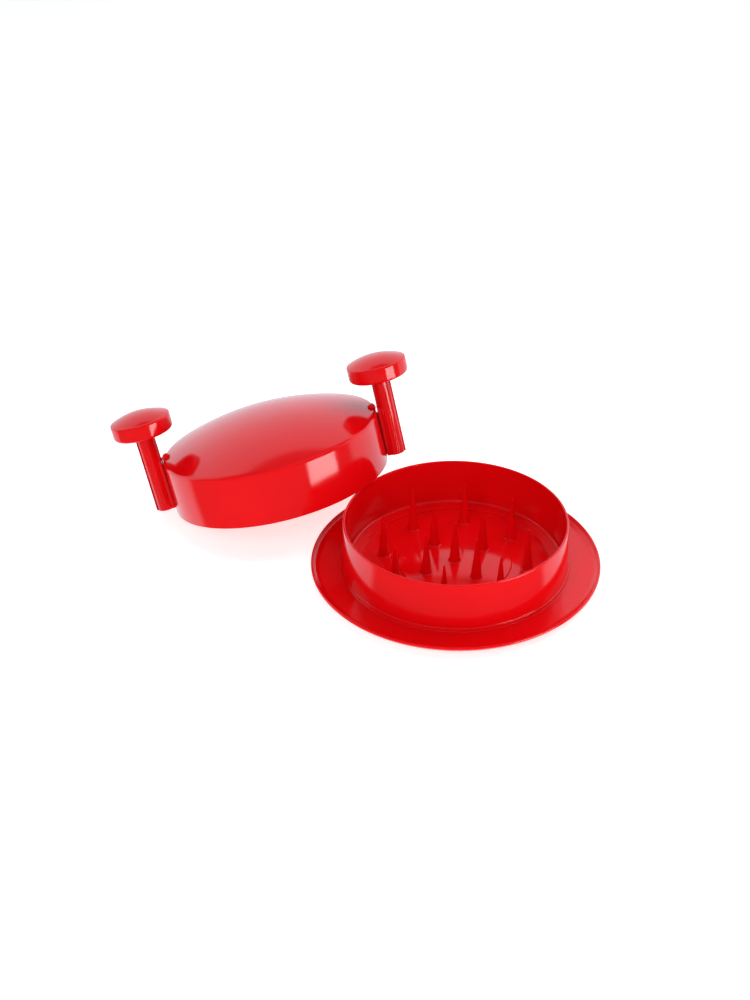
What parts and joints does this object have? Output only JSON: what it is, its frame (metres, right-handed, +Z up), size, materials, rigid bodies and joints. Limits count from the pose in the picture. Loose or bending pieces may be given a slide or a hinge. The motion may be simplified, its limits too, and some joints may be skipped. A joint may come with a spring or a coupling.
{
  "type": "twist meat shredder",
  "caption": "Round spiked tray with a tall ring, and a domed spiked lid with two upright knobbed handles, for shredding cooked meat by twisting; the lid is off and leans on the ring.",
  "frame": {"origin": "centre of the tray, on the plane that its foot pads stand on", "axes": "+Z up along the tray's centre line; +X to the right and +Y away from the viewer, so the lid leans at the back left"},
  "size_m": [0.4408, 0.3491, 0.1439],
  "materials": {
    "red_plastic": "very glossy bright red polypropylene",
    "foot_rubber": "dark crimson rubber"
  },
  "bodies": {
    "base": {"base_tray": "red_plastic", "base_spike_plate": "red_plastic", "foot_pad_1": "foot_rubber", "foot_pad_2": "foot_rubber", "foot_pad_3": "foot_rubber", "foot_pad_4": "foot_rubber"},
    "lid": {"lid_shell": "red_plastic", "lid_spike_plate": "red_plastic"},
    "left_handle": {"left_handle_post": "red_plastic", "left_knob": "red_plastic"},
    "right_handle": {"right_handle_post": "red_plastic", "right_knob": "red_plastic"}
  },
  "joints": [
    {"name": "lid_lift", "type": "slide", "parent": "base", "child": "lid", "axis": [0, 0, 1], "range_m": [0, 0.15]},
    {"name": "left_handle_slide", "type": "slide", "parent": "lid", "child": "left_handle", "axis": [-0.1939, 0.174, 0.9655], "range_m": [0, 0.045]},
    {"name": "right_handle_slide", "type": "slide", "parent": "lid", "child": "right_handle", "axis": [-0.1939, 0.174, 0.9655], "range_m": [0, 0.045]}
  ]
}
